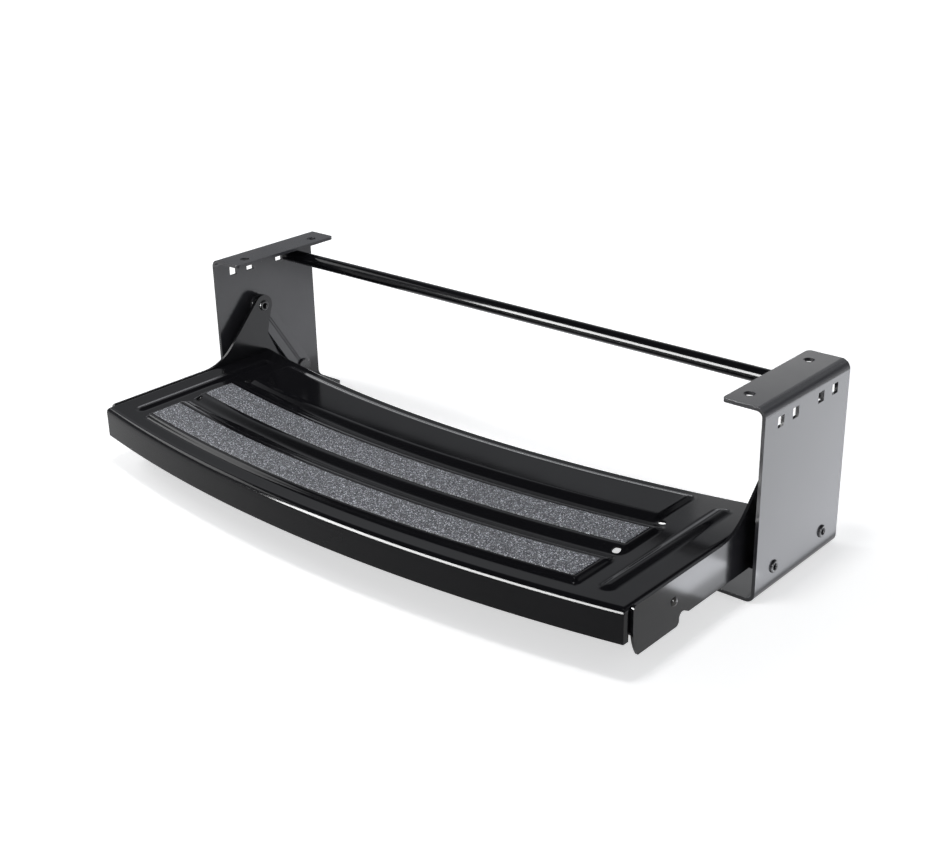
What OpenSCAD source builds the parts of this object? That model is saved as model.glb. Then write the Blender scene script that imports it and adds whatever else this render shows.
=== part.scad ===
// Pull-out entrance step for a caravan or camper.
// Two bent hangers bolt under the floor and are joined by a cross rod. A pressed tread
// with riveted side arms hangs on two swing links and rests on a stud on each hanger.
// The step is drawn pulled out. X runs along the tread, -Y is outwards, Z is up, and the
// origin is the middle of the mounting plane on top of the hangers.

/* [Hangers] */
// Overall width over the outer faces of the two hangers
hanger_span = 622; // [540:1:800]
// Depth of a hanger from its front to its rear edge
hanger_d = 130; // [124:1:170]
// Height of a hanger from its lower to its upper face
hanger_h = 163; // [150:1:200]
// Thickness of the hanger plate
plate_t = 3; // [2:0.5:4]
// Width of the upper and lower flanges
flange_w = 38; // [35:1:50]
// Outside radius of the bends between plate and flanges
bend_r = 8; // [5:0.5:9]
// Radius of the free corners of the flanges
flange_corner_r = 4; // [1:0.5:8]

/* [Hanger holes] */
// Diameter of the bolt holes in the upper flange
bolt_hole_d = 9; // [6.5:0.5:11]
// Distance of the bolt holes from the outer face of the hanger
bolt_inset = 26; // [20:1:28]
// Distance of the bolt holes from the front and rear edges
bolt_edge = 20; // [12:1:30]
// Side of the square holes in the plate
square_side = 9; // [6:0.5:9]
// Distance of the square holes below the mounting plane
square_drop = 17; // [15:0.5:20]
// Distance of the outer square holes from the front and rear edges
square_edge = 23.5; // [20:0.5:28]
// Distance between the two square holes of a pair
square_pitch = 22; // [22:0.5:26]

/* [Cross rod] */
// Diameter of the cross rod
rod_d = 13; // [10:0.5:13]

/* [Pins] */
// Height of the rest studs and link pins above the lower face of the hangers
pivot_z = 22; // [16:0.5:26]
// Distance of the rest studs from the front edge and of the link pins from the rear edge
pivot_edge = 27; // [24:1:32]
// Diameter of the pin and stud bodies
pin_d = 8; // [7:0.5:10]
// Diameter of the riveted tenons at the pin ends
tenon_d = 6; // [4:0.5:6.5]
// Radial running clearance of the pins
pin_fit = 0.05; // [0.02:0.01:0.1]
// Side clearance between neighbouring pieces on a pin
side_play = 0.15; // [0.1:0.05:0.3]
// Diameter of the flat pin heads
head_d = 15; // [13:0.5:17]
// Thickness of the flat pin heads
head_t = 2.4; // [1.5:0.1:2.6]
// Diameter of the peened pin ends
peen_d = 11; // [8:0.5:12]
// Thickness of the peened pin ends
peen_t = 1.8; // [1:0.1:2.5]
// Outside diameter of the spacer rings
spacer_d = 16; // [14:0.5:18]

/* [Swing links] */
// Thickness of a swing link
link_t = 3; // [2:0.5:4]
// Width of a swing link
link_w = 21; // [16:0.5:23]
// Height of the upper pivot over the lower one with the step pulled out
link_rise = 83; // [76:1:86]
// Distance that the tread moves between out and stowed
tread_travel = 108; // [96:1:114]
// Space between hanger plate and swing link
link_gap = 3; // [3:0.5:5]
// Space between swing link and side arm
arm_gap = 4; // [3.5:0.5:6]

/* [Side arms] */
// Thickness of a side arm
arm_t = 2.5; // [2:0.5:4]
// Height of the running edge of the arm above the lower face of the hangers
arm_bottom = 22.5; // [14:0.5:24]
// Drop of the front flap and of the rear heel below the running edge
flap_drop = 6; // [2:0.5:8]
// Distance of the arm's front edge behind the front corner of the tread
arm_setback = 8; // [4:0.5:14]
// Radius of the curved front edge of the flap
flap_r = 45; // [36:1:80]
// Radius of the flap's lower rear corner
flap_corner_r = 4; // [2:0.5:6]
// Length of the heel behind the rear notch
heel_l = 15; // [10:1:20]
// Clearance of the notches around the rest stud
notch_fit = 0.4; // [0.3:0.05:0.8]
// Slope of the notch ramps in degrees
notch_slope = 28; // [22:1:29]
// Radius of the ear around the upper pivot
ear_r = 11; // [9:0.5:13]
// Slope of the ear's front edge in degrees
ear_slope = 46; // [40:1:52]
// Radius of the hollow blend between ear and arm
ear_blend_r = 50; // [30:1:60]

/* [Tread] */
// Thickness of the tread sheet
sheet_t = 2; // [1.2:0.1:2.4]
// Height of the tread plate above the lower face of the hangers
tread_z = 58.5; // [50:0.5:64]
// Reach of the tread's front edge in front of the hangers, at mid width
tread_reach = 183; // [170:1:220]
// Depth of the tread
tread_d = 200; // [194:1:230]
// Radius of the curved front edge
tread_r = 1450; // [1100:10:3000]
// Depth of the front skirt
skirt_h = 28; // [22:0.5:30]
// Depth of the side flanges
side_h = 24; // [22:0.5:28]
// Depth of the rear lip
lip_h = 9; // [6:0.5:14]
// Outside radius of the tread's front bend
front_bend_r = 5; // [3:0.5:8]
// Outside radius of the tread's side and rear bends
side_bend_r = 3.5; // [3:0.5:6]
// Width of the relief slits at the front corners
slit_w = 2.5; // [1.5:0.5:4]

/* [Raised lands] */
// Height of the raised lands over the tread plate
land_h = 3.5; // [3.5:0.5:5]
// Outside radius of the rounded land edges
land_edge_r = 3; // [2.5:0.1:3]
// Distance of the front land from the tread's front edge
land_edge = 21; // [17:0.5:26]
// Flat valley between the front and the rear land
valley_w = 26.5; // [20:0.5:34]
// Bare margin of the lands around the grip strips
land_margin = 2.5; // [1:0.5:5]
// Distance of the rear panel from the rear land
panel_gap = 24.5; // [18:0.5:30]
// Distance of the rear panel from the tread's rear edge
panel_rear = 17; // [8:0.5:20]
// Distance of the rear panel from the side edges of the tread
panel_edge = 63.5; // [45:0.5:90]
// Radius of the side beads
bead_r = 6; // [4:0.5:6]
// Height of the side beads
bead_h = 3; // [2:0.5:3.5]
// Distance of the side beads from the side edges of the tread
bead_edge = 28.5; // [25:0.5:32]
// Distance of the bead ends from the front and rear edges of the tread
bead_end = 26; // [14:1:40]
// Diameter of the drain holes
drain_d = 7; // [4:0.5:10]
// Distance of the drain holes in front of the raised land behind them
drain_gap = 7; // [6:0.5:14]

/* [Grip strips] */
// Width of a grip strip
strip_w = 30.5; // [24:0.5:34]
// Distance of the strip ends from the side edges of the tread
strip_edge = 53.5; // [44:0.5:80]
// Thickness of a grip strip
strip_t = 1; // [0.6:0.1:2]

/* [Rivets] */
// Diameter of the arm rivets
rivet_d = 3.8; // [3:0.1:6]
// Diameter of the rivet heads
rivet_head_d = 8; // [7:0.5:11]
// Height of the rivet heads
rivet_head_h = 2.1; // [1.6:0.1:3]
// Distance of the arm rivets in front of the stowing notch
rivet_lead = 12; // [11:1:30]

/* [Hidden] */
$fn = 64;
// Overlap that lets cuts pass through a face
cut = 1;
// Steps in which a bend of the tread sheet is pressed
bend_steps = 4;

// Sides of the assembly
LEFT = -1;
RIGHT = 1;

// Distances from the inner face of a hanger plate, counted inwards
plate_x = hanger_span / 2 - plate_t;
link_in = link_gap + link_t;
arm_out = link_in + arm_gap;
arm_in = arm_out + arm_t;
tread_half = plate_x - arm_in;

// Pivots in the hanger's side view, Y from its front edge and Z from its lower face
stud_y = pivot_edge;
pin_y = hanger_d - pivot_edge;
upper_y = pin_y - tread_travel / 2;
upper_z = pivot_z + link_rise;
stow_y = stud_y - tread_travel;
link_l = norm([tread_travel / 2, link_rise]);
link_lean = atan2(tread_travel / 2, link_rise);

// Square holes and cross rod
square_z = hanger_h - square_drop;
rod_y = hanger_d - square_edge - square_pitch / 2;

// Lands, as distances behind the tread's front edge
land_w = strip_w + 2 * land_margin;
rear_land = land_edge + land_w + valley_w;
panel_at = rear_land + land_w + panel_gap;
strip_l = 2 * (tread_half - strip_edge);
land_l = strip_l + 2 * land_margin;
panel_w = tread_d - panel_rear - panel_at;
panel_l = 2 * (tread_half - panel_edge);

// Lowest level of the pressing before its walls are trimmed
wall_z = tread_z - max(skirt_h, side_h, lip_h) - cut;

// Tread arc
arc_y = tread_r - tread_reach;
arc_half = asin(tread_half / (tread_r - tread_d)) + 2;
function depth_y(x, v) = arc_y - sqrt((tread_r - v) ^ 2 - x ^ 2);
corner_y = depth_y(tread_half, 0);

// Side arm
arm_front = corner_y + arm_setback;
flap_bottom = arm_bottom - flap_drop;
notch_r = pin_d / 2 + notch_fit;
heel_end = stud_y + notch_r + heel_l;
rivet_y = stow_y - rivet_lead;
rivet_z = tread_z - side_h + rivet_head_d / 2 + 1;

// Moves a piece drawn in the hanger's side frame to the mounting frame
module seated() {
    translate([0, -hanger_d / 2, -hanger_h]) children();
}

// Draws a right-hand piece on the chosen side
module on_side(side) {
    seated() mirror([side == LEFT ? 1 : 0, 0, 0]) children();
}

// Stands a revolved pin on the inner face of the right plate, pointing inwards
module on_plate(y, z) {
    translate([plate_x, y, z]) rotate([0, -90, 0]) children();
}

// Extrudes a side view drawn in Y and Z inwards, from one distance to another
module side_plate(from, thick) {
    translate([plate_x - from - thick, 0, 0]) rotate([90, 0, 90]) linear_extrude(thick) children();
}

// Points of a pressed quarter bend about a centre, starting at an angle
function quarter(x, y, r, start) =
    [for (i = [0:bend_steps]) let (a = start + 90 * i / bend_steps) [x + r * cos(a), y + r * sin(a)]];

// Outline of a rectangle whose two upper corners are bends
function domed(x0, y0, x1, y1, r0, r1) =
    concat([[x0, y0], [x1, y0]], quarter(x1 - r1, y1 - r1, r1, 0), quarter(x0 + r0, y1 - r0, r0, 90));

function box_outline(x0, y0, x1, y1) = [[x0, y0], [x1, y0], [x1, y1], [x0, y1]];

// Outline with a bend at each side, whose last step runs on above the level y1
function roofed(half, y0, y1, r) =
    let (q = quarter(half - r, y1 - r, r, 0),
         ridge = q[bend_steps] + bend_steps * (q[bend_steps] - q[bend_steps - 1]),
         right = concat([[half, y0]], [for (i = [0:bend_steps - 1]) q[i]], [ridge]))
    concat(right, [for (i = [len(right) - 1:-1:0]) [-right[i].x, right[i].y]]);

// Sweeps an outline, drawn as distance behind the front edge and height, along the tread's arc
module swept(outline) {
    translate([0, arc_y, 0]) rotate([0, 0, 270 - arc_half])
        rotate_extrude(angle = 2 * arc_half, $fn = 360)
            polygon([for (i = [len(outline) - 1:-1:0]) [tread_r - outline[i].x, outline[i].y]]);
}

// Extrudes an outline drawn in X and Z over the whole depth of the tread
module front_prism(outline) {
    translate([0, arc_y, 0]) rotate([90, 0, 0]) linear_extrude(tread_r + cut) polygon(outline);
}

module rectangle(x0, y0, x1, y1) {
    translate([x0, y0]) square([x1 - x0, y1 - y0]);
}

// Raised land with bent edges, or its hollow underside when inset by the sheet
module raised_land(at, width, length, inset) {
    r = land_edge_r - inset;
    root = tread_z - (inset > 0 ? sheet_t + cut : sheet_t / 2);
    top = tread_z + land_h - inset;
    intersection() {
        swept(domed(at - r, root, at + width + r, top, r, r));
        front_prism(roofed(length / 2 + r, root - cut, top, r));
    }
}

// Half-round rib pressed up along each side of the tread
module side_bead(inset) {
    x = tread_half - bead_edge;
    y0 = depth_y(x, bead_end);
    y1 = depth_y(x, tread_d - bead_end);
    r = bead_r - inset;
    translate([x, y0, tread_z + bead_h - bead_r]) rotate([-90, 0, 0]) rotate_extrude() intersection() {
        union() {
            circle(r);
            rectangle(0, 0, r, y1 - y0);
            translate([0, y1 - y0]) circle(r);
        }
        rectangle(0, -2 * r, 2 * r, y1 - y0 + 2 * r);
    }
}

// Outer form of the pressing, or its inner form when inset by the sheet
module pan_form(inset) {
    floor_z = wall_z - (inset > 0 ? cut : 0);
    intersection() {
        swept(domed(inset, floor_z, tread_d - inset, tread_z - inset,
                    front_bend_r - inset, side_bend_r - inset));
        front_prism(roofed(tread_half - inset, floor_z - cut, tread_z - inset, side_bend_r - inset));
    }
    raised_land(land_edge, land_w, land_l, inset);
    raised_land(rear_land, land_w, land_l, inset);
    raised_land(panel_at, panel_w, panel_l, inset);
    for (side = [LEFT, RIGHT])
        mirror([side == LEFT ? 1 : 0, 0, 0]) side_bead(inset);
}

// What is trimmed from the right edge of the pressing: flange depth, corner slit and rivet hole
module pan_edge_cuts() {
    wide = sheet_t + 2 * cut;
    x = tread_half - sheet_t - cut;
    y = corner_y + front_bend_r + cut;
    bottom = wall_z - cut;
    translate([x, y, bottom]) cube([wide, tread_reach + tread_d, tread_z - side_h - bottom]);
    translate([x, y, bottom]) cube([wide, slit_w, tread_z - side_bend_r - cut - bottom]);
    translate([x, rivet_y, rivet_z]) rotate([0, 90, 0]) cylinder(d = rivet_d + 2 * pin_fit, h = wide);
}

// Drain holes at the ends of the two valleys, on the right half
module drains() {
    x = land_l / 2 - drain_d / 2;
    for (v = [rear_land - drain_gap, panel_at - drain_gap])
        translate([x, depth_y(x, v), tread_z - 2 * sheet_t]) cylinder(d = drain_d, h = 4 * sheet_t);
}

module tread_pan() {
    color("#232327") seated() difference() {
        pan_form(0);
        pan_form(sheet_t);
        swept(box_outline(-cut, wall_z - cut, front_bend_r + cut, tread_z - skirt_h));
        swept(box_outline(tread_d - sheet_t - cut, wall_z - cut, tread_d + cut, tread_z - lip_h));
        for (side = [LEFT, RIGHT])
            mirror([side == LEFT ? 1 : 0, 0, 0]) {
                pan_edge_cuts();
                drains();
            }
    }
}

// Gritted strip laid on a land
module grip_strip(at) {
    color("#5a5e66") seated() intersection() {
        swept(box_outline(at, tread_z + land_h, at + strip_w, tread_z + land_h + strip_t));
        front_prism(box_outline(-strip_l / 2, 0, strip_l / 2, hanger_h));
    }
}

module front_grip_strip() {
    grip_strip(land_edge + land_margin);
}

module rear_grip_strip() {
    grip_strip(rear_land + land_margin);
}

// Section of a hanger, its outer face on x = 0
module hanger_section(inset) {
    open = inset > 0 ? cut : 0;
    r = bend_r - inset;
    rectangle(-flange_w - open, inset, -bend_r, hanger_h - inset);
    rectangle(-bend_r, bend_r, -inset, hanger_h - bend_r);
    for (z = [bend_r, hanger_h - bend_r])
        translate([-bend_r, z]) circle(r);
}

// Plan of a hanger with rounded free corners
module hanger_plan() {
    r = flange_corner_r;
    rectangle(-flange_w + r, 0, 0, hanger_d);
    rectangle(-flange_w, r, 0, hanger_d - r);
    for (y = [r, hanger_d - r])
        translate([-flange_w + r, y]) circle(r);
}

module hanger(side) {
    color("#2a2a2e") on_side(side) difference() {
        translate([hanger_span / 2, 0, 0]) intersection() {
            translate([0, hanger_d, 0]) rotate([90, 0, 0]) linear_extrude(hanger_d) difference() {
                hanger_section(0);
                hanger_section(plate_t);
            }
            linear_extrude(hanger_h) hanger_plan();
        }
        for (y = [bolt_edge, hanger_d - bolt_edge])
            translate([hanger_span / 2 - bolt_inset, y, hanger_h - plate_t - cut])
                cylinder(d = bolt_hole_d, h = plate_t + 2 * cut);
        for (edge = [square_edge, square_edge + square_pitch])
            for (y = [edge, hanger_d - edge])
                translate([plate_x + plate_t / 2, y, square_z])
                    cube([plate_t + 2 * cut, square_side, square_side], center = true);
        for (y = [stud_y, pin_y])
            translate([plate_x - cut, y, pivot_z]) rotate([0, 90, 0])
                cylinder(d = tenon_d + 2 * pin_fit, h = plate_t + 2 * cut);
    }
}

module left_hanger() {
    hanger(LEFT);
}

module right_hanger() {
    hanger(RIGHT);
}

module cross_rod() {
    color("#2a2a2e") seated() translate([-plate_x, rod_y, square_z]) rotate([0, 90, 0])
        cylinder(d = rod_d, h = 2 * plate_x);
}

// Half section of a peened end with a dimple, standing on height h
module peened_end(h) {
    translate([0, h])
        polygon([[0, 0], [peen_d / 2, 0], [peen_d / 2, peen_t * 0.4], [peen_d / 2 - peen_t, peen_t],
                 [peen_d / 4, peen_t], [peen_d / 8, peen_t / 2], [0, peen_t / 2]]);
}

// Pin riveted through the hanger, with a body up to height h and a flat head beyond it
module plate_pin(h) {
    mirror([0, 0, 1]) rotate_extrude() {
        peened_end(plate_t);
        rectangle(0, -cut, tenon_d / 2, plate_t + peen_t / 4);
        rectangle(0, -h - head_t / 2, pin_d / 2, 0);
        rectangle(0, -h - head_t, head_d / 2 - head_t / 4, -h);
        rectangle(0, -h - head_t * 0.75, head_d / 2, -h);
    }
}

module rest_stud(side) {
    color("#3a3a3f") on_side(side) on_plate(stud_y, pivot_z) plate_pin(arm_in + 4 * side_play);
}

module left_rest_stud() {
    rest_stud(LEFT);
}

module right_rest_stud() {
    rest_stud(RIGHT);
}

module link_pin(side) {
    color("#3a3a3f") on_side(side) on_plate(pin_y, pivot_z) plate_pin(link_in + side_play);
}

module left_link_pin() {
    link_pin(LEFT);
}

module right_link_pin() {
    link_pin(RIGHT);
}

// Plain ring on a pin, standing on height h
module ring(h, thick) {
    translate([0, 0, h]) difference() {
        cylinder(d = spacer_d, h = thick);
        translate([0, 0, -cut]) cylinder(d = pin_d + 2 * pin_fit, h = thick + 2 * cut);
    }
}

module link_spacer(side) {
    color("#17171a") on_side(side) on_plate(pin_y, pivot_z) ring(0, link_gap - side_play);
}

module left_link_spacer() {
    link_spacer(LEFT);
}

module right_link_spacer() {
    link_spacer(RIGHT);
}

// Flat link with round ends, leaning forwards over its lower pivot
module swing_link(side) {
    color("#2a2a2e") on_side(side) side_plate(link_gap, link_t)
        translate([pin_y, pivot_z]) rotate(link_lean) difference() {
            union() {
                circle(d = link_w);
                rectangle(-link_w / 2, 0, link_w / 2, link_l);
                translate([0, link_l]) circle(d = link_w);
            }
            for (z = [0, link_l])
                translate([0, z]) circle(d = pin_d + 2 * pin_fit);
        }
}

module left_swing_link() {
    swing_link(LEFT);
}

module right_swing_link() {
    swing_link(RIGHT);
}

// Notch that drops over the rest stud at y, its ramp running down towards dir
module notch(y, dir) {
    ramp = [cos(notch_slope), -sin(notch_slope)];
    top = [sin(notch_slope), cos(notch_slope)] * notch_r;
    foot = top + ramp * (pivot_z - flap_bottom + top.y + cut) / sin(notch_slope);
    translate([y, pivot_z]) mirror([dir < 0 ? 1 : 0, 0]) {
        circle(notch_r);
        polygon([[-notch_r, 0], [-notch_r, foot.y], foot, top]);
    }
}

// Ear that carries the upper pivot, with a hollow blend into the arm's top edge
module ear() {
    rise = [cos(ear_slope), sin(ear_slope)];
    pivot = [upper_y, upper_z];
    tangent = pivot + ear_r * [-rise.y, rise.x];
    foot = tangent - rise * (tangent.y - tread_z) / rise.y;
    reach = ear_blend_r * tan(ear_slope / 2);
    waist = [upper_y + ear_r / 4, tread_z + 1.5 * ear_r];
    tail = [heel_end + 2 * ear_r, arm_bottom + 1.5 * ear_r];
    translate(pivot) circle(ear_r);
    polygon([[foot.x, arm_bottom], [heel_end, arm_bottom], tail, waist,
             pivot + [ear_r, 0], pivot, tangent, foot]);
    difference() {
        polygon([foot - [reach, cut], foot + [reach, -cut], foot + reach * rise, foot - [reach, 0]]);
        translate([foot.x - reach, tread_z + ear_blend_r]) circle(ear_blend_r);
    }
}

// Front flap with its upright front edge running into a curve down to the tip
module flap() {
    r = side_bend_r;
    z = (tread_z + arm_bottom) / 2;
    rectangle(arm_front, z, stow_y, tread_z - r);
    rectangle(arm_front + r, z, stow_y, tread_z);
    translate([arm_front + r, tread_z - r]) circle(r);
    intersection() {
        translate([arm_front + flap_r, z]) circle(flap_r, $fn = 180);
        union() {
            rectangle(arm_front, flap_bottom, stow_y - notch_r - flap_corner_r, z);
            rectangle(arm_front, flap_bottom + flap_corner_r, stow_y - notch_r, z);
            translate([stow_y - notch_r - flap_corner_r, flap_bottom + flap_corner_r]) circle(flap_corner_r);
        }
    }
}

module side_arm(side) {
    color("#26262a") on_side(side) side_plate(arm_out, arm_t) difference() {
        union() {
            flap();
            rectangle(stow_y - notch_r - cut, arm_bottom, heel_end, tread_z);
            rectangle(stud_y, flap_bottom, heel_end, tread_z);
            ear();
        }
        notch(stow_y, 1);
        notch(stud_y, -1);
        translate([upper_y, upper_z]) circle(d = tenon_d + 2 * pin_fit);
        translate([rivet_y, rivet_z]) circle(d = rivet_d + 2 * pin_fit);
    }
}

module left_side_arm() {
    side_arm(LEFT);
}

module right_side_arm() {
    side_arm(RIGHT);
}

// Upper pivot pin, headed outside the link and peened inside the ear
module tread_pin(side) {
    color("#3a3a3f") on_side(side) on_plate(upper_y, upper_z) rotate_extrude() {
        peened_end(arm_in);
        rectangle(0, arm_out - cut, tenon_d / 2, arm_in + peen_t / 4);
        rectangle(0, link_gap - head_t, pin_d / 2, arm_out);
        rectangle(0, link_gap - head_t - side_play, head_d / 2, link_gap - side_play);
    }
}

module left_tread_pin() {
    tread_pin(LEFT);
}

module right_tread_pin() {
    tread_pin(RIGHT);
}

module tread_spacer(side) {
    color("#17171a") on_side(side) on_plate(upper_y, upper_z) ring(link_in + side_play, arm_gap - side_play);
}

module left_tread_spacer() {
    tread_spacer(LEFT);
}

module right_tread_spacer() {
    tread_spacer(RIGHT);
}

// Domed rivet head, standing on height h and growing by dir
module rivet_head(h, dir) {
    ball = (rivet_head_d ^ 2 / 4 + rivet_head_h ^ 2) / (2 * rivet_head_h);
    translate([0, 0, h]) mirror([0, 0, dir < 0 ? 1 : 0]) intersection() {
        translate([0, 0, rivet_head_h - ball]) sphere(ball);
        cylinder(d = rivet_head_d, h = rivet_head_h);
    }
}

module arm_rivet(side) {
    color("#3a3a3f") on_side(side) on_plate(rivet_y, rivet_z) {
        rivet_head(arm_out, -1);
        translate([0, 0, arm_out - cut / 2]) cylinder(d = rivet_d, h = arm_t + sheet_t + cut);
        rivet_head(arm_in + sheet_t, 1);
    }
}

module left_arm_rivet() {
    arm_rivet(LEFT);
}

module right_arm_rivet() {
    arm_rivet(RIGHT);
}

left_hanger();
right_hanger();
cross_rod();
left_rest_stud();
right_rest_stud();
left_link_pin();
right_link_pin();
left_link_spacer();
right_link_spacer();
left_swing_link();
right_swing_link();
tread_pan();
left_side_arm();
right_side_arm();
front_grip_strip();
rear_grip_strip();
left_tread_pin();
right_tread_pin();
left_tread_spacer();
right_tread_spacer();
left_arm_rivet();
right_arm_rivet();
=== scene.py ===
import math
import random
from collections import namedtuple

import bmesh
import bpy
from mathutils import Matrix, Vector

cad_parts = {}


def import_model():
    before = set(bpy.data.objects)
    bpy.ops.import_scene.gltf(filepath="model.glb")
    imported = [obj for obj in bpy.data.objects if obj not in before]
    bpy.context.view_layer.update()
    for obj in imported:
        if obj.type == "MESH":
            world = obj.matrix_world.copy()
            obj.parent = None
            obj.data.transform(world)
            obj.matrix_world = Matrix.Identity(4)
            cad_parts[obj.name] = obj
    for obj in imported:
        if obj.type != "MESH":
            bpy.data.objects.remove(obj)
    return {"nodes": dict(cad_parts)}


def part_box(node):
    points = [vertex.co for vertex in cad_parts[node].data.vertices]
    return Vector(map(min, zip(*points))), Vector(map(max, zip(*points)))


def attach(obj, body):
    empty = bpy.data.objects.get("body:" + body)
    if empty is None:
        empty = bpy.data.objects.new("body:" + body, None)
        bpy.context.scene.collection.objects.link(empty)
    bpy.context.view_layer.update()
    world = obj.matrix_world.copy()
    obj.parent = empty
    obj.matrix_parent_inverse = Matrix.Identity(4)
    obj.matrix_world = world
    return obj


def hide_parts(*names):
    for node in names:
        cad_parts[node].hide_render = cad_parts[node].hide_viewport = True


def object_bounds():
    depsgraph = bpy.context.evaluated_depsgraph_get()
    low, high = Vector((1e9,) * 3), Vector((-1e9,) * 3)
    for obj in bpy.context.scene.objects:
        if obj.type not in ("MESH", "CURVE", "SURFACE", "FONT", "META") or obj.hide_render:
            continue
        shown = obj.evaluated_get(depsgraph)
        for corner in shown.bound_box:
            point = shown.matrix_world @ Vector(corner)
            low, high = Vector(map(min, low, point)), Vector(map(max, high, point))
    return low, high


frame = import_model()
cad_low, cad_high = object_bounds()

Land = namedtuple("Land", "front rear half front_w rear_w end_w")
Paint = namedtuple("Paint", "color gloss specular peel")

# Camera of the photograph: place in metres, angles in radians, lens and sensor in millimetres
CAMERA_PLACE = (0.8026, -0.9526, 0.4200)
CAMERA_YAW = 0.725
CAMERA_PITCH = 0.406
CAMERA_ROLL = 0.023
CAMERA_LENS = 57.24
CAMERA_SENSOR = 36.0
CAMERA_CLIP = (0.01, 80.0)

# Tread sheet, in metres; a depth v is the distance behind the curved front edge
TREAD_R = 1.450
TREAD_FRONT = -0.248
TREAD_HALF = 0.2955
TREAD_D = 0.200
TREAD_Z = -0.1045
SHEET_T = 0.002
FRONT_BEND_R = 0.005
SIDE_BEND_R = 0.0035
# Drops of the skirt, the side flanges and the rear lip below the sheet
SKIRT_H = 0.028
SIDE_H = 0.024
LIP_H = 0.009
# Depths where the skirt's returns end and the side flanges begin, with a slit between
RETURN_V = 0.0059
FLANGE_V = 0.0083

# Mesh of the tread: points of a bend, drops of the points on the walls, spacing of fine and coarse
# points, and the half width inside which the columns are coarse
BEND_STEPS = 8
WALL_DROPS = (LIP_H, 0.012, 0.016, 0.020, SIDE_H, SKIRT_H)
FINE_STEP = 0.0013
COARSE_STEP = 0.011
COARSE_HALF = 0.221

# Front land, rear land and rear panel: front and rear depths, half length, then the widths of slopes
LAND_H = 0.0035
LANDS = (
    Land(front=0.0210, rear=0.0565, half=0.2445, front_w=0.0045, rear_w=0.0125, end_w=0.0042),
    Land(front=0.0830, rear=0.1185, half=0.2445, front_w=0.0130, rear_w=0.0125, end_w=0.0042),
    Land(front=0.1430, rear=0.1805, half=0.2335, front_w=0.0120, rear_w=0.0120, end_w=0.0045),
)
# Side beads: place, depths of their ends, height and half width
BEAD_X = 0.267
BEAD_V = (0.026, 0.174)
BEAD_H = 0.0018
BEAD_HALF = 0.0076
# Drain holes, a pair on each side
DRAIN_R = 0.0035
DRAIN_X = 0.241
DRAIN_V = (0.076, 0.136)

# Grip strips: half length, width, depths of their front edges, spacing and height of the grit
STRIP_HALF = 0.242
STRIP_W = 0.0305
STRIP_STARTS = {"front_grip_strip": 0.0235, "rear_grip_strip": 0.0855}
STRIP_STEP = 0.0009
GRIT_HEIGHT = 0.00035

# Pins: sizes of their rolled ends, tenons, bodies and flat heads, and the plates they go through
RIM_R = 0.0055
RIM_H = 0.0018
RIM_W = 0.0032
BORE_DEPTH = 0.0030
TENON_R = 0.0030
PIN_R = 0.0040
HEAD_R = 0.0075
HEAD_T = 0.0024
HEAD_SOFT = 0.0005
HANGER_PLATE = 0.003
ARM_PLATE = 0.0025
PIN_STEPS = 48
RIM_STEPS = 10

# Rounded edges: widths, segments, and the angles in degrees from which an edge is rounded
EDGE_ROUND = 0.0004
ARM_ROUND = 0.0006
RIVET_ROUND = 0.0002
TREAD_ROUND = 0.0003
EDGE_SEGMENTS = 2
EDGE_ANGLE = 40.0
TREAD_ANGLE = 60.0
# Angles in degrees from which the shading of a new piece has a crease
TREAD_CREASE = 42.0
PIN_CREASE = 35.0
# Gaps under which points are merged: in the CAD meshes, the tread's grid and its rounded edges
CAD_WELD = 0.00001
GRID_WELD = 0.000005
ROUND_WELD = 0.00002

# Paints: colour, the two roughness values between which the gloss varies, specular level, orange peel
PAINTS = {
    "gloss_black": Paint((0.005, 0.005, 0.006), gloss=(0.08, 0.13), specular=0.10, peel=0.02),
    "arm_black": Paint((0.008, 0.008, 0.009), gloss=(0.14, 0.20), specular=0.20, peel=0.03),
    "satin_black": Paint((0.022, 0.022, 0.025), gloss=(0.16, 0.22), specular=0.36, peel=0.03),
    "pin_black": Paint((0.010, 0.010, 0.011), gloss=(0.22, 0.34), specular=0.4, peel=0.1),
    "rivet_steel": Paint((0.024, 0.022, 0.020), gloss=(0.10, 0.16), specular=0.35, peel=0.05),
    "ring_black": Paint((0.008, 0.008, 0.009), gloss=(0.4, 0.55), specular=0.5, peel=0.15),
}
# Noise of a paint's gloss, tone and orange peel, each as scale and detail; the spans that gloss and
# tone take from it, the lift of the palest tone and the depth of the peel
GLOSS_NOISE = (28.0, 5.0)
GLOSS_SPAN = (0.3, 0.7)
TONE_NOISE = (9.0, 6.0)
TONE_SPAN = (0.35, 0.75)
TONE_LIFT = 1.35
PEEL_NOISE = (420.0, 2.0)
PEEL_DEPTH = 0.0003

# Grit: grains per metre, the span of their ranks, their shades by rank, gloss and bump
GRAIN_SCALE = 1350.0
GRAIN_RANKS = (0.0, 1.0)
GRAIN_SHADES = (
    (0.0, (0.03, 0.031, 0.035)),
    (0.55, (0.10, 0.105, 0.117)),
    (0.85, (0.22, 0.23, 0.255)),
    (1.0, (0.80, 0.82, 0.88)),
)
GRAIN_ROUGH = (0.4, 0.85)
GRAIN_SPECULAR = 0.25
GRAIN_BUMP = 0.5
GRAIN_DEPTH = 0.0004

# Floor, half a millimetre below the part
FLOOR_GAP = 0.0005
FLOOR_Z = cad_low.z - FLOOR_GAP
FLOOR_SIZE = 60.0
FLOOR_COLOR = (0.84, 0.84, 0.84, 1)
FLOOR_ROUGH = 0.9
# Own white of the floor near the part and far from it, and the distances where it changes
FLOOR_GLOW = (0.58, 0.92)
FLOOR_REACH = (0.40, 1.40)
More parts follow.
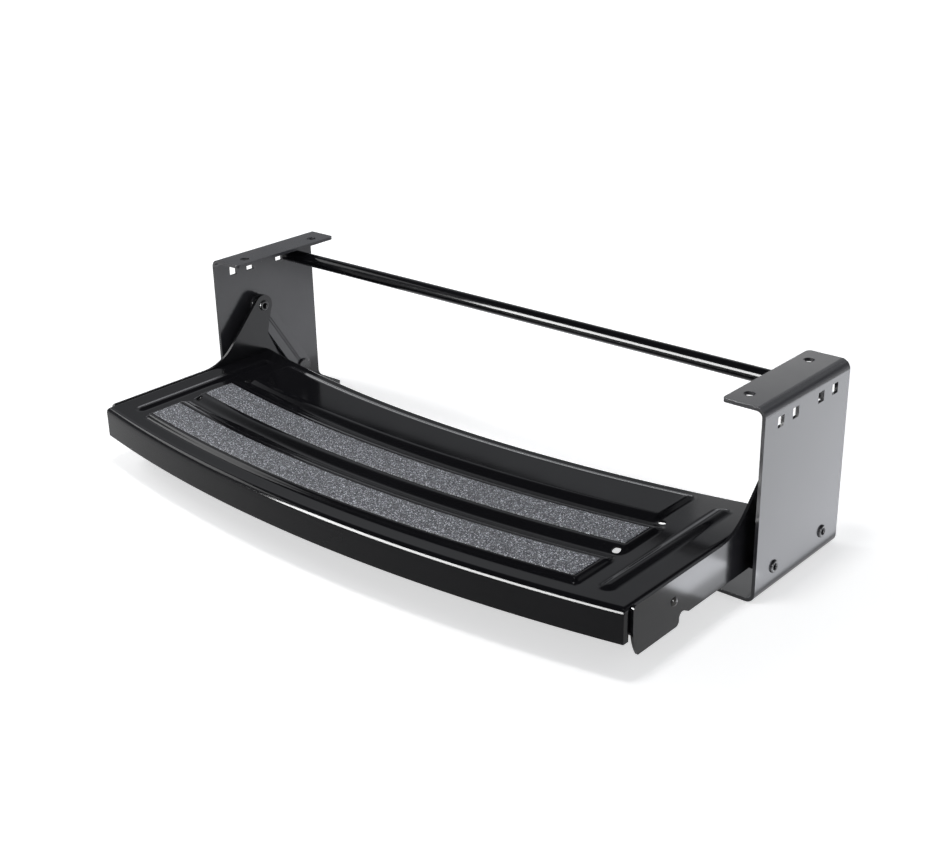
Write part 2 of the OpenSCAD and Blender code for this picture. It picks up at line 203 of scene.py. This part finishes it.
# Brightness of the surroundings at the sine of the height above the horizon
SKY = ((0.0, 1.0), (0.04, 0.97), (0.12, 0.78), (0.24, 0.40), (0.34, 0.27), (0.42, 0.62), (0.48, 0.98),
       (0.56, 0.95), (0.66, 0.10), (1.0, 0.08))
# Tints of the surroundings and the lamps
SKY_TINT = (0.94, 0.96, 1.0)
WHITE = (1, 1, 1)
COOL = (0.93, 0.95, 1.0)
# Heights of the mats over the floor, and the height that they face
MAT_LIFT = 0.002
ARM_MAT_LIFT = 0.003
MAT_AIM = 1.0

# Start of the random heights of the grit
SEED = 7


def camera():
    """Camera at the photograph's place, turned by its yaw, pitch and roll."""
    data = bpy.data.cameras.new("camera")
    data.lens = CAMERA_LENS
    data.sensor_width = CAMERA_SENSOR
    data.clip_start, data.clip_end = CAMERA_CLIP
    cam = bpy.data.objects.new("camera", data)
    bpy.context.scene.collection.objects.link(cam)
    cy, sy = math.cos(CAMERA_YAW), math.sin(CAMERA_YAW)
    cp, sp = math.cos(CAMERA_PITCH), math.sin(CAMERA_PITCH)
    cr, sr = math.cos(CAMERA_ROLL), math.sin(CAMERA_ROLL)
    forward = Vector((-sy * cp, cy * cp, -sp))
    level = Vector((cy, sy, 0))
    fall = forward.cross(level)
    right = cr * level + sr * fall
    down = -sr * level + cr * fall
    cam.matrix_world = Matrix((
        (right.x, -down.x, -forward.x, CAMERA_PLACE[0]),
        (right.y, -down.y, -forward.y, CAMERA_PLACE[1]),
        (right.z, -down.z, -forward.z, CAMERA_PLACE[2]),
        (0, 0, 0, 1),
    ))
    bpy.context.scene.camera = cam


def new_material(name):
    """New material with its nodes, links and shader."""
    material = bpy.data.materials.new(name)
    material.use_nodes = True
    tree = material.node_tree
    return material, tree.nodes, tree.links, tree.nodes["Principled BSDF"]


def noise(nodes, links, place, scale, detail):
    """Noise in the object's own coordinates."""
    cloud = nodes.new("ShaderNodeTexNoise")
    cloud.inputs["Scale"].default_value = scale
    cloud.inputs["Detail"].default_value = detail
    links.new(place.outputs["Object"], cloud.inputs["Vector"])
    return cloud.outputs["Fac"]


def remap(nodes, links, value, source, target):
    """Value carried over from one span to another."""
    node = nodes.new("ShaderNodeMapRange")
    node.inputs["From Min"].default_value, node.inputs["From Max"].default_value = source
    node.inputs["To Min"].default_value, node.inputs["To Max"].default_value = target
    links.new(value, node.inputs["Value"])
    return node.outputs["Result"]


def combine(nodes, links, operation, first, second):
    """Result of a math operation on two values."""
    node = nodes.new("ShaderNodeMath")
    node.operation = operation
    links.new(first, node.inputs[0])
    links.new(second, node.inputs[1])
    return node.outputs["Value"]


def ramp(nodes, stops):
    """Colour ramp through two or more stops, each a position and a colour."""
    node = nodes.new("ShaderNodeValToRGB")
    elements = node.color_ramp.elements
    for element, (position, color) in zip((elements[0], elements[1]), (stops[0], stops[-1])):
        element.position = position
        element.color = (*color, 1)
    for position, color in stops[1:-1]:
        elements.new(position).color = (*color, 1)
    return node


def bump(nodes, links, shader, height, strength, depth):
    """Bump on a shader from a height."""
    node = nodes.new("ShaderNodeBump")
    node.inputs["Strength"].default_value = strength
    node.inputs["Distance"].default_value = depth
    links.new(height, node.inputs["Height"])
    links.new(node.outputs["Normal"], shader.inputs["Normal"])
    return node


def paint_material(name, paint):
    """Paint with a slightly uneven gloss and tone and a fine orange peel."""
    material, nodes, links, shader = new_material(name)
    shader.inputs["Specular IOR Level"].default_value = paint.specular
    place = nodes.new("ShaderNodeTexCoord")
    rough = remap(nodes, links, noise(nodes, links, place, *GLOSS_NOISE), GLOSS_SPAN, paint.gloss)
    links.new(rough, shader.inputs["Roughness"])
    paler = [TONE_LIFT * c for c in paint.color]
    tone = ramp(nodes, list(zip(TONE_SPAN, (paint.color, paler))))
    links.new(noise(nodes, links, place, *TONE_NOISE), tone.inputs["Fac"])
    links.new(tone.outputs["Color"], shader.inputs["Base Color"])
    bump(nodes, links, shader, noise(nodes, links, place, *PEEL_NOISE), paint.peel, PEEL_DEPTH)
    return material


def grit_material():
    """Mineral grit: fine grains of many greys, some of them bright."""
    material, nodes, links, shader = new_material("grip_grit")
    shader.inputs["Specular IOR Level"].default_value = GRAIN_SPECULAR
    place = nodes.new("ShaderNodeTexCoord")
    grains = nodes.new("ShaderNodeTexVoronoi")
    grains.inputs["Scale"].default_value = GRAIN_SCALE
    split = nodes.new("ShaderNodeSeparateColor")
    links.new(place.outputs["Object"], grains.inputs["Vector"])
    links.new(grains.outputs["Color"], split.inputs["Color"])
    shades = ramp(nodes, GRAIN_SHADES)
    links.new(split.outputs["Red"], shades.inputs["Fac"])
    links.new(shades.outputs["Color"], shader.inputs["Base Color"])
    rough = remap(nodes, links, split.outputs["Green"], GRAIN_RANKS, GRAIN_ROUGH)
    links.new(rough, shader.inputs["Roughness"])
    relief = bump(nodes, links, shader, grains.outputs["Distance"], GRAIN_BUMP, GRAIN_DEPTH)
    relief.invert = True
    return material


def weld(obj, gap):
    """Merges points that lie closer together than a gap."""
    merge = obj.modifiers.new("weld", "WELD")
    merge.merge_threshold = gap


def round_edges(obj, width, angle):
    """Rounds the edges that turn by more than an angle in degrees."""
    edge = obj.modifiers.new("edge", "BEVEL")
    edge.width = width
    edge.segments = EDGE_SEGMENTS
    edge.limit_method = "ANGLE"
    edge.angle_limit = math.radians(angle)


def dress(node, material, width=EDGE_ROUND):
    """Gives a CAD node its material, and softens its edges and shading by modifiers."""
    obj = frame["nodes"][node]
    obj.data.materials.clear()
    obj.data.materials.append(material)
    weld(obj, CAD_WELD)
    round_edges(obj, width, EDGE_ANGLE)
    normals = obj.modifiers.new("normals", "WEIGHTED_NORMAL")
    normals.keep_sharp = True


def add_piece(name, mesh, material, body, node):
    """Turns a bmesh into a piece that rides on a body in place of a CAD node."""
    data = bpy.data.meshes.new(name)
    mesh.to_mesh(data)
    mesh.free()
    data.materials.append(material)
    obj = bpy.data.objects.new(name, data)
    bpy.context.scene.collection.objects.link(obj)
    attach(obj, body)
    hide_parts(node)
    return obj


def arc_y(x, v):
    """Y of the tread's arc at x, a distance v behind the front edge."""
    return TREAD_FRONT + TREAD_R - math.sqrt((TREAD_R - v) ** 2 - x * x)


def smooth(t):
    """Cosine step from 0 to 1."""
    return 0.5 - 0.5 * math.cos(math.pi * min(1.0, max(0.0, t)))


def land_rise(x, v, land):
    """Share of the height that a raised land has at a point."""
    along = max((land.front - v) / land.front_w, (v - land.rear) / land.rear_w, 0.0)
    across = max((abs(x) - land.half) / land.end_w, 0.0)
    return smooth(1.0 - math.hypot(along, across))


def emboss(x, v):
    """Height of the pressed lands and side beads over the flat sheet."""
    lands = max(land_rise(x, v, land) for land in LANDS)
    past_end = max(BEAD_V[0] - v, v - BEAD_V[1], 0.0)
    beside = math.hypot(abs(x) - BEAD_X, past_end)
    return LAND_H * lands + BEAD_H * smooth(1.0 - beside / BEAD_HALF)


def spread(start, end, step):
    """Evenly spaced values from start to end, both included."""
    count = max(1, round((end - start) / step))
    return [start + (end - start) * i / count for i in range(count + 1)]


def bend(radius):
    """Reach and drop of the points of a quarter bend, after its first point."""
    angles = [math.pi / 2 * i / BEND_STEPS for i in range(1, BEND_STEPS + 1)]
    return [(radius * math.sin(a), radius * (1 - math.cos(a))) for a in angles]


def pan_columns():
    """X and drop of the pan's columns from its left to its right flange."""
    edge = TREAD_HALF - SIDE_BEND_R
    flat = spread(0.0, COARSE_HALF, COARSE_STEP) + spread(COARSE_HALF, edge, FINE_STEP)[1:]
    right = [(x, 0.0) for x in flat]
    right += [(edge + reach, drop) for reach, drop in bend(SIDE_BEND_R)]
    right += [(TREAD_HALF, drop) for drop in (FRONT_BEND_R, *WALL_DROPS)]
    return [(-x, drop) for x, drop in reversed(right[1:])] + right


def pan_rows():
    """Depth and drop of the pan's rows from the foot of its skirt to the foot of its rear lip."""
    front = [(0.0, drop) for drop in reversed(WALL_DROPS)]
    front += [(FRONT_BEND_R - reach, drop) for reach, drop in reversed(bend(FRONT_BEND_R))]
    stops = spread(FLANGE_V, TREAD_D - SIDE_BEND_R, FINE_STEP)
    top = [(v, 0.0) for v in [FRONT_BEND_R, RETURN_V] + stops]
    rear = [(TREAD_D - SIDE_BEND_R + reach, drop) for reach, drop in bend(SIDE_BEND_R)]
    return front + top + rear + [(TREAD_D, FRONT_BEND_R), (TREAD_D, LIP_H)]


def in_pan(column, row):
    """Whether the pan has sheet at a corner of its grid: walls end at slits and at their own drops."""
    side_drop = column[1]
    depth, row_drop = row
    if side_drop <= SIDE_BEND_R:
        return True
    if row_drop > (FRONT_BEND_R if depth < TREAD_D / 2 else SIDE_BEND_R):
        return False
    if depth <= RETURN_V:
        return True
    return depth >= FLANGE_V and side_drop <= SIDE_H


def pan_sheet(mesh):
    """Outer face of the pan as a grid of columns and rows, open at the slits and below the walls."""
    columns, rows = pan_columns(), pan_rows()
    grid = {}
    for i, column in enumerate(columns):
        for j, row in enumerate(rows):
            if in_pan(column, row):
                x, v = column[0], row[0]
                z = TREAD_Z + emboss(x, v) - max(column[1], row[1])
                grid[i, j] = mesh.verts.new((x, arc_y(x, v), z))
    for i in range(len(columns) - 1):
        for j in range(len(rows) - 1):
            corners = [(i, j), (i + 1, j), (i + 1, j + 1), (i, j + 1)]
            on_wall = max(columns[i][1], columns[i + 1][1]) > SIDE_BEND_R
            slit = on_wall and rows[j][0] == RETURN_V
            if not slit and all(c in grid for c in corners):
                mesh.faces.new([grid[c] for c in corners])
    bmesh.ops.remove_doubles(mesh, verts=mesh.verts, dist=GRID_WELD)


def cut_drains(mesh):
    """Opens round drain holes in the sheet and pulls their rims onto circles."""
    for side in (-1, 1):
        for v in DRAIN_V:
            centre = Vector((side * DRAIN_X, arc_y(DRAIN_X, v)))
            gone = [f for f in mesh.faces
                    if (f.calc_center_median().xy - centre).length < DRAIN_R]
            lost = set(gone)
            rim = {p for f in gone for p in f.verts if any(g not in lost for g in p.link_faces)}
            for p in rim:
                spot = centre + (p.co.xy - centre).normalized() * DRAIN_R
                p.co.x, p.co.y = spot
            bmesh.ops.delete(mesh, geom=gone, context="FACES")
    bmesh.ops.delete(mesh, geom=[p for p in mesh.verts if not p.link_faces], context="VERTS")


def thicken(mesh):
    """Gives an open sheet its thickness downwards and inwards, with closed edges."""
    mesh.normal_update()
    outer = list(mesh.faces)
    inner = {p: mesh.verts.new(p.co - p.normal * SHEET_T) for p in list(mesh.verts)}
    rims = [(e, e.link_faces[0]) for e in mesh.edges if len(e.link_faces) == 1]
    for face in outer:
        mesh.faces.new([inner[p] for p in reversed(face.verts)])
    for edge, face in rims:
        a, b = edge.verts
        order = list(face.verts)
        if order[(order.index(a) + 1) % len(order)] is not b:
            a, b = b, a
        mesh.faces.new((b, a, inner[a], inner[b]))


def tread_pan(material):
    """Pressed tread sheet with soft lands, beads, bends, slits and drain holes."""
    mesh = bmesh.new()
    pan_sheet(mesh)
    cut_drains(mesh)
    thicken(mesh)
    for face in mesh.faces:
        face.smooth = True
    obj = add_piece("pressed_tread", mesh, material, "tread", "tread_pan")
    obj.data.set_sharp_from_angle(angle=math.radians(TREAD_CREASE))
    round_edges(obj, TREAD_ROUND, TREAD_ANGLE)
    weld(obj, ROUND_WELD)


def grit_top(mesh, start, top):
    """Rough upper side of a strip as a grid of points, with a level rim."""
    columns = int(2 * STRIP_HALF / STRIP_STEP)
    rows = int(STRIP_W / STRIP_STEP)
    grid = []
    for i in range(columns + 1):
        x = -STRIP_HALF + 2 * STRIP_HALF * i / columns
        line = []
        for j in range(rows + 1):
            v = start + STRIP_W * j / rows
            rim = i in (0, columns) or j in (0, rows)
            lift = 0.0 if rim else GRIT_HEIGHT * random.random()
            line.append(mesh.verts.new((x, arc_y(x, v), top + lift)))
        grid.append(line)
    for i in range(columns):
        for j in range(rows):
            mesh.faces.new((grid[i][j], grid[i + 1][j], grid[i + 1][j + 1], grid[i][j + 1]))
    return grid


def strip_base(mesh, grid, base):
    """Closes a strip by walls under its rim and a flat underside of cross bands."""
    columns, rows = len(grid) - 1, len(grid[0]) - 1
    rim = [grid[i][0] for i in range(columns)] + [grid[columns][j] for j in range(rows)]
    rim += [grid[i][rows] for i in range(columns, 0, -1)] + [grid[0][j] for j in range(rows, 0, -1)]
    foot = [mesh.verts.new((p.co.x, p.co.y, base)) for p in rim]
    for i in range(len(rim)):
        k = (i + 1) % len(rim)
        mesh.faces.new((rim[k], rim[i], foot[i], foot[k]))
    # The foot runs along the front edge, the right end, the rear edge and the left end
    rear_left = 2 * columns + rows
    for i in range(1, columns - 1):
        mesh.faces.new((foot[i], foot[rear_left - i], foot[rear_left - i - 1], foot[i + 1]))
    mesh.faces.new([foot[1], foot[0]] + foot[:rear_left - 2:-1])
    mesh.faces.new(foot[columns + rows + 1:columns - 2:-1])


def grip_strip(node, start, material):
    """Gritted strip with a real rough surface, laid where the plain strip lies."""
    low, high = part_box(node)
    mesh = bmesh.new()
    grid = grit_top(mesh, start, high.z - GRIT_HEIGHT)
    strip_base(mesh, grid, low.z)
    add_piece("grit_" + node, mesh, material, "tread", node)


def pin_profile(length, plate):
    """Depth and radius along a pin, from the bore in its rolled end to the middle of its head."""
    bore = RIM_H + BORE_DEPTH
    foot = RIM_H + plate
    head = length - HEAD_T
    profile = [(bore, 0.0), (bore, RIM_R - RIM_W)]
    for i in range(RIM_STEPS + 1):
        turn = math.pi * i / RIM_STEPS
        radius = RIM_R - RIM_W / 2 - RIM_W / 2 * math.cos(turn)
        profile.append((RIM_H - RIM_H * math.sin(turn), radius))
    profile += [(RIM_H, TENON_R), (foot, TENON_R), (foot, PIN_R), (head, PIN_R)]
    profile += [(head, HEAD_R - HEAD_SOFT), (head + HEAD_SOFT, HEAD_R)]
    profile += [(length - HEAD_SOFT, HEAD_R), (length, HEAD_R - HEAD_SOFT), (length, 0.0)]
    return profile


def rolled_pin(node, plate, body, material, rim_outside):
    """Pin with a flat head, a body, and a hollow end rolled over behind a plate."""
    low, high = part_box(node)
    side = 1 if low.x > 0 else -1
    near, far = sorted((abs(low.x), abs(high.x)))
    tip, inwards = (far, -1) if rim_outside else (near, 1)
    centre_y, centre_z = (low.y + high.y) / 2, (low.z + high.z) / 2
    mesh = bmesh.new()
    rings = []
    for depth, radius in pin_profile(far - near, plate):
        x = side * (tip + inwards * depth)
        steps = PIN_STEPS if radius else 1
        turns = [2 * math.pi * k / steps for k in range(steps)]
        around = [(centre_y + radius * math.cos(t), centre_z + radius * math.sin(t)) for t in turns]
        rings.append([mesh.verts.new((x, y, z)) for y, z in around])
    for inner, outer in zip(rings, rings[1:]):
        for k in range(PIN_STEPS):
            corners = (inner[k % len(inner)], inner[(k + 1) % len(inner)],
                       outer[(k + 1) % len(outer)], outer[k % len(outer)])
            # At the axis two corners are the same point, which is taken once
            mesh.faces.new(list(dict.fromkeys(corners)))
    bmesh.ops.recalc_face_normals(mesh, faces=mesh.faces)
    for face in mesh.faces:
        face.smooth = True
    obj = add_piece("rolled_" + node, mesh, material, body, node)
    obj.data.set_sharp_from_angle(angle=math.radians(PIN_CREASE))


def floor():
    """Plain white floor; part of its white comes from itself, and it keeps the shadow."""
    bpy.ops.mesh.primitive_plane_add(size=FLOOR_SIZE, location=(0, 0, FLOOR_Z))
    plane = bpy.context.object
    plane.name = "floor"
    material, nodes, links, shader = new_material("floor_white")
    shader.inputs["Base Color"].default_value = FLOOR_COLOR
    shader.inputs["Roughness"].default_value = FLOOR_ROUGH
    shader.inputs["Specular IOR Level"].default_value = 0.0
    shader.inputs["Emission Color"].default_value = (*WHITE, 1)
    path = nodes.new("ShaderNodeLightPath").outputs
    seen = combine(nodes, links, "MAXIMUM", path["Is Camera Ray"], path["Is Glossy Ray"])
    seen = combine(nodes, links, "MAXIMUM", seen, path["Is Transmission Ray"])
    place = nodes.new("ShaderNodeNewGeometry")
    away = nodes.new("ShaderNodeVectorMath")
    away.operation = "LENGTH"
    links.new(place.outputs["Position"], away.inputs[0])
    white = remap(nodes, links, away.outputs["Value"], FLOOR_REACH, FLOOR_GLOW)
    white.node.interpolation_type = "SMOOTHSTEP"
    glow = combine(nodes, links, "MULTIPLY", seen, white)
    links.new(glow, shader.inputs["Emission Strength"])
    plane.data.materials.append(material)


def world():
    """Studio surroundings: white at the horizon, a bright band half way up and a dark ceiling."""
    scene = bpy.context.scene
    scene.world = bpy.data.worlds.new("surroundings")
    scene.world.use_nodes = True
    nodes, links = scene.world.node_tree.nodes, scene.world.node_tree.links
    place = nodes.new("ShaderNodeTexCoord")
    split = nodes.new("ShaderNodeSeparateXYZ")
    sky = ramp(nodes, [(height, [level * c for c in SKY_TINT]) for height, level in SKY])
    links.new(place.outputs["Generated"], split.inputs["Vector"])
    links.new(split.outputs["Z"], sky.inputs["Fac"])
    links.new(sky.outputs["Color"], nodes["Background"].inputs["Color"])


def lamp(name, place, target, size, power, tint=WHITE, gloss_only=False):
    """Soft lamp that the camera doesn't see; a gloss lamp shows in reflections alone."""
    data = bpy.data.lights.new(name, "AREA")
    data.shape = "RECTANGLE"
    data.size, data.size_y = size
    data.energy = power
    data.color = tint
    light = bpy.data.objects.new(name, data)
    light.location = place
    aim = Vector(target) - Vector(place)
    light.rotation_euler = aim.to_track_quat("-Z", "Y").to_euler()
    light.visible_camera = False
    light.visible_diffuse = not gloss_only
    bpy.context.scene.collection.objects.link(light)


def mat(name, x, y, size, power, lift=MAT_LIFT):
    """Cool lamp that lies face up just over the floor, where the side faces mirror it."""
    lamp(name, (x, y, FLOOR_Z + lift), (x, y, MAT_AIM), size, power, tint=COOL)


def studio():
    """Lamps above and at the left, gloss lamps in front and at the right, mats, and a card behind."""
    lamp("top_softbox", place=(0.10, -0.35, 1.45), target=(0, -0.1, -0.1), size=(0.3, 0.3), power=7.4)
    lamp("left_softbox", place=(-1.35, -0.45, 0.80), target=(0, -0.15, -0.1), size=(0.8, 0.5), power=7.0)
    lamp("front_strip", place=(-0.45, -1.42, 0.32), target=(0.12, -0.22, -0.1), size=(1.25, 0.80),
         power=280.0, gloss_only=True)
    lamp("right_spark", place=(1.56, -0.56, 0.54), target=(0.3, -0.1, -0.1), size=(0.35, 0.35),
         power=16.0, gloss_only=True)
    mat("right_mat", x=0.609, y=0.233, size=(0.58, 0.634), power=2.7)
    mat("arm_mat", x=0.347, y=-0.056, size=(0.030, 0.064), power=0.028, lift=ARM_MAT_LIFT)
    mat("left_mat", x=-0.076, y=0.16, size=(0.372, 0.30), power=0.46)
    lamp("flange_card", place=(-0.19, 0.90, 0.33), target=(0.29, 0, 0), size=(0.26, 0.20), power=0.17)


random.seed(SEED)
bpy.context.scene.view_settings.view_transform = "Standard"
camera()
world()
floor()
studio()

paints = {name: paint_material(name, paint) for name, paint in PAINTS.items()}
grit = grit_material()

for node in frame["nodes"]:
    if node in STRIP_STARTS or node == "tread_pan":
        continue
    if "spacer" in node:
        dress(node, paints["ring_black"])
    elif "rivet" in node:
        dress(node, paints["rivet_steel"], RIVET_ROUND)
    elif "tread_pin" in node:
        rolled_pin(node, ARM_PLATE, "tread", paints["pin_black"], rim_outside=False)
    elif "pin" in node or "stud" in node:
        rolled_pin(node, HANGER_PLATE, "hanger_frame", paints["pin_black"], rim_outside=True)
    elif "arm" in node:
        dress(node, paints["arm_black"], ARM_ROUND)
    elif node == "cross_rod":
        dress(node, paints["gloss_black"])
    else:
        dress(node, paints["satin_black"])

tread_pan(paints["gloss_black"])
for node, start in STRIP_STARTS.items():
    grip_strip(node, start, grit)
